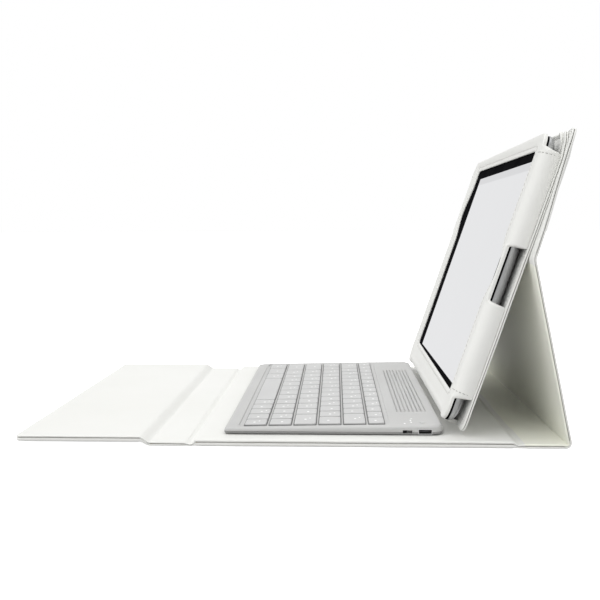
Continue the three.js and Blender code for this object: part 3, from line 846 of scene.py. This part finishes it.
# ---- keyboard ------------------------------------------------------------------------------------
K_DEPTH, K_HALF = KEYBOARD["depth"], KEYBOARD["half"]
PITCH, KEY_GAP, KEYS_FRONT, KEYS_NEAR, KEYS_FAR = 16.2, 1.6, 12.0, -115.6, 117.4
ROW_UNITS, FUNCTION_ROW = 15.1, 5
UNIT = (KEYS_FAR - KEYS_NEAR) / ROW_UNITS
# Each row of keys: its place from the front, the keys' relative widths, and its start and end in key units.
ROWS = {
    "arrow_keys": (0, [1] * 5, 0, 5),
    "space_bar": (0, [1], 5, 10.4),
    "command_keys": (0, [1.5, 1.7, 1.5], 10.4, ROW_UNITS),
    "shift_row_keys": (1, [1] * 5 + [1.1] * 6 + [1.4, 2.1], 0, ROW_UNITS),
    "home_row_keys": (2, [1.8] + [1.12] * 10 + [2.1], 0, ROW_UNITS),
    "upper_row_keys": (3, [1.3] + [1.05] * 12 + [1.2], 0, ROW_UNITS),
    "number_row_keys": (4, [1.8] + [1.04] * 11 + [1.8], 0, ROW_UNITS),
    "function_row_keys": (FUNCTION_ROW, [1] * 14, 0, ROW_UNITS),
}


def deck_height(x):
    return KEYBOARD["low"] + (KEYBOARD["high"] - KEYBOARD["low"]) * x / K_DEPTH


def deck_above(rise):
    """A height that follows the sloping deck, this far above it."""
    return lambda x: deck_height(x) + rise


def row_front(row):
    return KEYS_FRONT + row * PITCH


def row_depth(row):
    return 10.6 if row == FUNCTION_ROW else PITCH - KEY_GAP


def box_part(x0, x1, y0, y1, z0, z1, r=0.6):
    return pad(x0, x1, y0, y1, [(0.0, z0), (0.0, z1)], (r, r), step=30)


def carve(obj, parts):
    """Cuts closed meshes out of a piece, and leaves plain mesh data."""
    for verts, faces in parts:
        cutter = bpy.data.objects.new("cutter", closed_mesh("cutter", verts, faces, on_keyboard))
        scene.collection.objects.link(cutter)
        modifier = obj.modifiers.new("cut", "BOOLEAN")
        modifier.operation = "DIFFERENCE"
        modifier.solver = "EXACT"
        modifier.object = cutter
        bpy.context.view_layer.update()
        graph = bpy.context.evaluated_depsgraph_get()
        cut_mesh = bpy.data.meshes.new_from_object(obj.evaluated_get(graph))
        obj.modifiers.clear()
        obj.data = cut_mesh
        bpy.data.objects.remove(cutter)
    obj.data.shade_smooth()
    obj.data.set_sharp_from_angle(angle=math.radians(SHARP))


USB, SLIDE = (124.2, 132.8, 0.75, 3.75), (114.5, 118.5, 1.3, 3.0)
CONNECT, LIGHT = (127.5, -K_HALF + 9, 1.6), (121.5, -K_HALF + 20, 0.9)


def side_holes():
    """Cutters for the socket and for the switch's slot, which is longer by the switch's travel."""
    outside, depth = -K_HALF - 2, -K_HALF + 3
    fit, slack, travel = 0.15, 0.2, 1.6
    socket = box_part(USB[0] - fit, USB[1] + fit, outside, depth, USB[2] - fit, USB[3] + fit, 0.3)
    slot = box_part(SLIDE[0] - slack, SLIDE[1] + slack + travel, outside, depth, SLIDE[2] - slack,
                    SLIDE[3] + slack, 0.3)
    return [socket, slot]


def disc_part(x, y, r, levels, count=20):
    """A round piece from its edge profile: levels are (inset, height)."""
    turns = [2 * math.pi * k / count for k in range(count)]
    return skin([[(x + (r - e) * math.cos(a), y + (r - e) * math.sin(a), z) for a in turns]
                 for e, z in levels])


def make_keyboard():
    outline, corners = (0, K_DEPTH, -K_HALF, K_HALF), (2.6, 7)
    tray = [(3.0, 0.0), (1.5, 0.0), (0.85, 0.18), (0.35, 0.55), (0.05, 1.0), (0.0, 1.6), (0.12, 1.84),
            (2.5, 1.86)]
    # The tray takes the darker silicone copy: painted shade on the keyboard's sides.
    case = make("keyboard_tray", *pad(*outline, tray, corners), on_keyboard, tray_painted_shade_silicone, "base",
                "grey_rubber", ["keyboard_bottom_case"])
    profile = [(2.5, 1.94), (0.12, 1.96), (0.0, 2.15), (0.0, deck_above(-1.5)), (0.1, deck_above(-1.0)),
               (0.4, deck_above(-0.55)), (0.9, deck_above(-0.22)), (1.6, deck_above(-0.04)),
               (2.6, deck_height), (5.0, deck_height)]
    deck = make("keyboard_top", *pad(*outline, profile, corners), on_keyboard, silicone, "base",
                "grey_rubber", ["keyboard_deck"])
    field_back = row_front(FUNCTION_ROW) + row_depth(FUNCTION_ROW)
    recess = pad(KEYS_FRONT - 3.6, field_back + 3.2, KEYS_NEAR - 3.0, KEYS_FAR + 2.6,
                 [(0.5, deck_above(-0.7)), (0.0, deck_above(0.05)), (0.0, deck_above(3.0))], (3.5, 3.5))
    through = [(0.0, 1.0), (0.0, 9.0)]
    slots = []
    for row, _, first, last in ROWS.values():
        x0, y0, y1 = row_front(row), KEYS_NEAR + first * UNIT, KEYS_NEAR + last * UNIT
        slots.append(box_part(x0 - 0.3, x0 + row_depth(row) + 0.3, y0 + 0.1, y1 - 0.1, 1.3, 9.0, 1.0))
    button = disc_part(CONNECT[0], CONNECT[1], CONNECT[2] + 0.25, through)
    lens = disc_part(LIGHT[0], LIGHT[1], LIGHT[2] + 0.12, through)
    carve(deck, [recess, *slots, button, lens, *side_holes()])
    carve(case, side_holes())


make_keyboard()


def key_cap(x0, x1, y0, y1, bottom, rise):
    """One key: straight soft sides, a rounded rim and a top that dips slightly."""
    levels = [(0.0, bottom), (0.02, deck_above(rise - 0.55)), (0.12, deck_above(rise - 0.22)),
              (0.38, deck_above(rise - 0.05)), (0.8, deck_above(rise)), (2.2, deck_above(rise - 0.1))]
    return pad(x0, x1, y0, y1, levels, (1.3, 1.3), step=40)


def mark(x, y, wx, wy, rise=0.0):
    """A thin printed dash, this far above the deck."""
    levels = [(0.0, deck_above(rise - 0.05)), (0.02, deck_above(rise + 0.025)),
              (0.2, deck_above(rise + 0.03))]
    return pad(x - wx / 2, x + wx / 2, y - wy / 2, y + wy / 2, levels, (0.25, 0.25), step=40)


def make_keys():
    """Each row's web below the deck, dark as painted shade between the keys, the keys on it, and dashes on
    each key in place of letters.
    """
    cap_rise, dip, side_slack = 0.42, 0.1, 0.4
    for index, (name, (row, keys, first, last)) in enumerate(ROWS.items()):
        x0, x1 = row_front(row), row_front(row) + row_depth(row)
        bottom = deck_height(x0) - 0.85
        y0, y1 = KEYS_NEAR + first * UNIT + side_slack, KEYS_NEAR + last * UNIT - side_slack
        web = box_part(x0 - 0.1, x1 + 0.1, y0 - 0.1, y1 + 0.1, bottom, bottom + 0.55, 0.8)
        caps, marks, y = [], [], y0
        for k, width in enumerate(keys):
            step = (y1 - y0) * width / sum(keys)
            side = 0.95 if len(keys) > 1 else 0.0
            caps.append(key_cap(x0 + 0.3, x1 - 0.3, y + side, y + step - side, bottom + 0.1, cap_rise))
            if name != "space_bar":
                middle_y = y + step / 2
                middle_x = (x0 + x1) / 2 + ((k * 7 + index * 3) % 5 - 2) * 0.5
                marks.append(mark(middle_x, middle_y - 1.2, 1.5, 2.4, cap_rise - dip))
                if (k + index) % 2 == 0:
                    marks.append(mark(middle_x + 3.0, middle_y + 1.8, 1.1, 1.9, cap_rise - dip))
            y += step
        # The web is dark as painted shade between the keys.
        make(name + "_web", *web, on_keyboard, painted_shade_web, name, "key_rubber")
        make(name + "_caps", *merge(*caps), on_keyboard, key_silicone, name, "key_rubber", [name])
        if marks:
            make(name + "_print", *merge(*marks), on_keyboard, print_ink, name)


make_keys()


def make_ridges():
    """Eight rounded ribs across the rest behind the keys."""
    count, thick, front, back, near, far = 8, 1.3, 113.0, 133.4, -83.5, 76.0
    pitch = (back - front - thick) / (count - 1)
    levels = [(0.0, deck_above(-0.3)), (0.0, deck_above(0.15)), (0.12, deck_above(0.38)),
              (0.36, deck_above(0.5)), (0.55, deck_above(0.52))]
    parts = []
    for i in range(count):
        x = front + i * pitch
        parts.append(pad(x, x + thick, near, far, levels, (0.6, 0.6), step=60))
    make("keyboard_ridges", *merge(*parts), on_keyboard, silicone, "base", "grey_rubber")


make_ridges()


def make_button():
    x, y, r = CONNECT
    top = deck_height(x) + 0.4
    dome = [(0.0, top - 2.2), (0.0, top - 0.3), (0.15, top - 0.1), (0.5, top), (0.9, top + 0.02)]
    make("connect_button_cap", *disc_part(x, y, r, dome, 24), on_keyboard, key_silicone, "connect_button",
         "clear_plastic", ["connect_button"])


def make_lens():
    x, y, r = LIGHT
    top = deck_height(x) + 0.1
    dome = [(0.0, 2.4), (0.0, top - 0.12), (0.15, top), (0.4, top + 0.04)]
    make("indicator_lens", *disc_part(x, y, r, dome), on_keyboard, clear_plastic, "base", "clear_plastic",
         ["indicator_light"])


def make_switch():
    """The power switch's slider, with three grip ribs on its face."""
    x0, _, z0, z1 = SLIDE
    body = [(0.0, z0), (0.0, z1)]
    rib = [(0.0, z0 + 0.15), (0.0, z1 - 0.15)]
    parts = [pad(x0, x0 + 2.4, -K_HALF + 0.9, -K_HALF + 4, body, (0.2, 0.2), step=10)]
    for i in range(3):
        at = x0 + 0.25 + i * 0.75
        parts.append(pad(at, at + 0.4, -K_HALF + 0.3, -K_HALF + 1.2, rib, (0.12, 0.12), step=10))
    make("power_switch_slider", *merge(*parts), on_keyboard, black_plastic, "power_switch", "black_plastic",
         ["power_switch"])


def make_print():
    """Plain dashes by the button, the light and the switch."""
    printed = [mark(CONNECT[0] - 7.0, -K_HALF + 10.5 + 5 * i, 1.0, 3.2) for i in range(2)]
    printed.append(mark(SLIDE[0] + 1.6, -K_HALF + 7.5, 1.2, 2.4))
    make("keyboard_print", *merge(*printed), on_keyboard, print_ink, "base")


def make_socket_rim():
    """The thin plated rim inside the socket's hole."""
    x0, x1, z0, z1 = USB
    outer, inner = (x0 - 0.1, x1 + 0.1, z0 - 0.1, z1 + 0.1), (x0 + 0.2, x1 - 0.2, z0 + 0.2, z1 - 0.2)
    rings = []
    for (left, right, low, high), depth in ((inner, 2.2), (outer, 2.2), (outer, 0.1), (inner, -0.02)):
        corners = ((left, low), (right, low), (right, high), (left, high))
        rings.append([(x, -K_HALF + depth, z) for x, z in corners])
    make("socket_rim", *skin(rings, loop=True), on_keyboard, bright_rim, "base", "steel")


make_button()
make_lens()
make_switch()
make_print()
make_socket_rim()

# ---- CAD pieces that stay, with finished materials -----------------------------------------------
finishes = {"charging_socket": black_plastic, "keyboard_adhesive_pad": dark_foam,
            "keyboard_circuit_board": circuit, "keyboard_dome_sheet": clear_plastic,
            "keyboard_battery": foil, "tablet_battery": foil, "flap_magnet_strip": steel,
            "back_cover_steel_plate": steel}
for node, obj in frame["nodes"].items():
    finish = finishes.get(node, fibreboard if node.endswith("_board") else None)
    if finish:
        obj.data.materials.clear()
        obj.data.materials.append(finish)

# ---- floor, light and camera ---------------------------------------------------------------------
def make_floor():
    mesh = bpy.data.meshes.new("floor")
    size, level = 30.0, -0.0002
    corners = [(-size, -size), (size, -size), (size, size), (-size, size)]
    mesh.from_pydata([(x, y, level) for x, y in corners], [], [(0, 1, 2, 3)])
    m = Nodes("pale_floor", 0.85, Specular_IOR_Level=0.0, Emission_Color=(1, 1, 1, 1))
    m.colour(m.noise(3.0, 2.0), [(0.3, (0.6, 0.6, 0.6)), (0.7, (0.62, 0.62, 0.62))])
    seen = m.tree.nodes.new("ShaderNodeLightPath")
    m.tree.links.new(seen.outputs["Is Camera Ray"], m.shader.inputs["Emission Strength"])
    mesh.materials.append(m.material)
    floor = bpy.data.objects.new("floor", mesh)
    scene.collection.objects.link(floor)


def make_light():
    """A soft sky that is brighter above, seen as plain white, and two broad suns."""
    world = bpy.data.worlds.new("studio")
    scene.world = world
    world.use_nodes = True
    tree = world.node_tree
    tree.nodes.clear()
    out = tree.nodes.new("ShaderNodeOutputWorld")
    fill = tree.nodes.new("ShaderNodeBackground")
    white = tree.nodes.new("ShaderNodeBackground")
    fill.inputs["Color"].default_value = (1.0, 1.0, 0.99, 1)
    height = tree.nodes.new("ShaderNodeSeparateXYZ")
    tree.links.new(tree.nodes.new("ShaderNodeTexCoord").outputs["Generated"], height.inputs[0])
    sky = tree.nodes.new("ShaderNodeMapRange")
    sky.inputs["To Min"].default_value = 0.57
    sky.inputs["To Max"].default_value = 0.87
    tree.links.new(height.outputs["Z"], sky.inputs["Value"])
    tree.links.new(sky.outputs["Result"], fill.inputs["Strength"])
    white.inputs["Color"].default_value = (1, 1, 1, 1)
    seen = tree.nodes.new("ShaderNodeLightPath")
    mix = tree.nodes.new("ShaderNodeMixShader")
    tree.links.new(seen.outputs["Is Camera Ray"], mix.inputs["Fac"])
    tree.links.new(fill.outputs[0], mix.inputs[1])
    tree.links.new(white.outputs[0], mix.inputs[2])
    tree.links.new(mix.outputs[0], out.inputs["Surface"])
    for name, direction, strength, angle in (("key", (-0.6, -0.25, 0.76), 0.95, 60),
                                             ("top", (0.15, 0.1, 0.98), 0.5, 80)):
        sun = bpy.data.lights.new(name, "SUN")
        sun.energy = strength
        sun.angle = math.radians(angle)
        obj = bpy.data.objects.new(name, sun)
        obj.rotation_mode = "QUATERNION"
        obj.rotation_quaternion = Vector(direction).to_track_quat("Z", "Y")
        scene.collection.objects.link(obj)


def make_camera():
    """Where the photograph was taken from, found from the cover's edges and corners."""
    yaw, pitch, roll = (math.radians(a) for a in (2.54, 5.11, -0.27))
    along_cover, aside, height = 202.7, -620.6, 135.75
    ahead = Vector((-math.sin(yaw) * math.cos(pitch), math.cos(yaw) * math.cos(pitch), -math.sin(pitch)))
    right = Vector((math.cos(yaw), math.sin(yaw), 0.0))
    up = right.cross(ahead)
    turned_right = right * math.cos(roll) + up * math.sin(roll)
    turned_up = up * math.cos(roll) - right * math.sin(roll)
    camera = bpy.data.cameras.new("camera")
    camera.sensor_width, camera.lens = 36.0, 47.88
    camera.clip_start, camera.clip_end = 0.01, 100.0
    obj = bpy.data.objects.new("camera", camera)
    scene.collection.objects.link(obj)
    turn = Matrix((turned_right, turned_up, -ahead)).transposed().to_4x4()
    obj.matrix_world = Matrix.Translation(((along_cover - MID) * MM, aside * MM, height * MM)) @ turn
    scene.camera = obj


make_floor()
make_light()
make_camera()
scene.view_settings.view_transform = "Standard"
